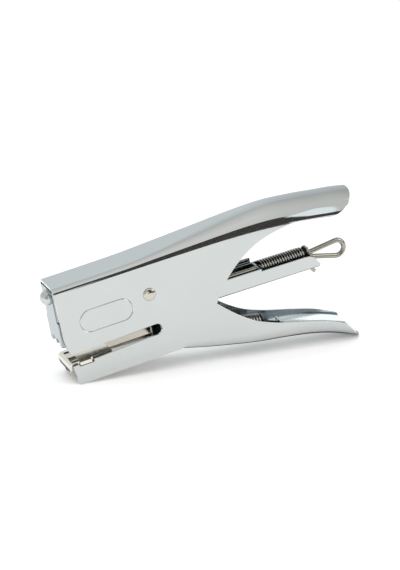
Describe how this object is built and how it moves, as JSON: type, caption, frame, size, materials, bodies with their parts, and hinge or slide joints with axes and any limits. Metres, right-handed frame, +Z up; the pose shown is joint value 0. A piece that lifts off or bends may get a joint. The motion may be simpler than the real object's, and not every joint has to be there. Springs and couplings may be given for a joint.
{
  "type": "plier stapler",
  "caption": "Hand plier stapler: chromed sheet shell with arched handle, lower squeeze lever, swinging staple magazine with pull-out sprung feed and bare cheeks.",
  "frame": {"origin": "centre of the overall box at the height of the surface it stands on, with the jaw's foot corners and the lever tip on z = 0", "axes": "+X from the jaw towards the handles, +Z up, Y across the two cheeks, which mirror each other in y = 0"},
  "size_m": [0.1692, 0.0232, 0.0804],
  "materials": {
    "chrome_plate": "mirror bright chromium plating",
    "satin_chrome": "satin chromium plating",
    "nickel_plate": "warm nickel plating",
    "dark_steel": "oiled steel",
    "spring_steel": "bright-drawn spring wire"
  },
  "bodies": {
    "body": {"body_shell": "chrome_plate", "anvil": "nickel_plate", "pivot_rivet": "nickel_plate", "pivot_bush": "dark_steel", "pivot_washers": "nickel_plate"},
    "lever": {"lever": "chrome_plate", "lever_nose": "dark_steel", "nose_pins": "nickel_plate", "spring_anchor": "chrome_plate", "return_spring": "spring_steel"},
    "magazine": {"magazine_channel": "chrome_plate", "front_plate": "satin_chrome", "front_rivet": "nickel_plate"},
    "driver": {"driver_blade": "nickel_plate", "driver_holder": "dark_steel"},
    "feed": {"guide_rod": "nickel_plate", "rod_collar": "dark_steel", "spring_seat": "nickel_plate", "seat_washer": "dark_steel", "follower_spring": "spring_steel"},
    "pusher": {"pusher": "nickel_plate"}
  },
  "joints": [
    {"name": "lever_squeeze", "type": "hinge", "parent": "body", "child": "lever", "pos_m": [-0.03281, 0, 0.0412], "axis": [0, -1, 0], "range_deg": [0, 20], "stiffness_Nm_per_rad": 1.5, "springref_deg": -20.05, "deforming": ["return_spring"]},
    {"name": "magazine_swing", "type": "hinge", "parent": "body", "child": "magazine", "pos_m": [-0.03281, 0, 0.0412], "axis": [0, -1, 0], "range_deg": [0, 10]},
    {"name": "driver_stroke", "type": "slide", "parent": "magazine", "child": "driver", "axis": [0.171, 0, -0.9853], "range_m": [0, 0.00729]},
    {"name": "feed_pull", "type": "slide", "parent": "magazine", "child": "feed", "axis": [0.9853, 0, 0.171], "range_m": [0, 0.115]},
    {"name": "pusher_slide", "type": "slide", "parent": "feed", "child": "pusher", "axis": [-0.9853, 0, -0.171], "range_m": [0, 0.077], "deforming": ["follower_spring"]}
  ],
  "couplings": [
    {"joint": "magazine_swing", "follows": "lever_squeeze", "ratio": 0.5},
    {"joint": "driver_stroke", "follows": "lever_squeeze", "m_per_rad": 0.020886}
  ]
}
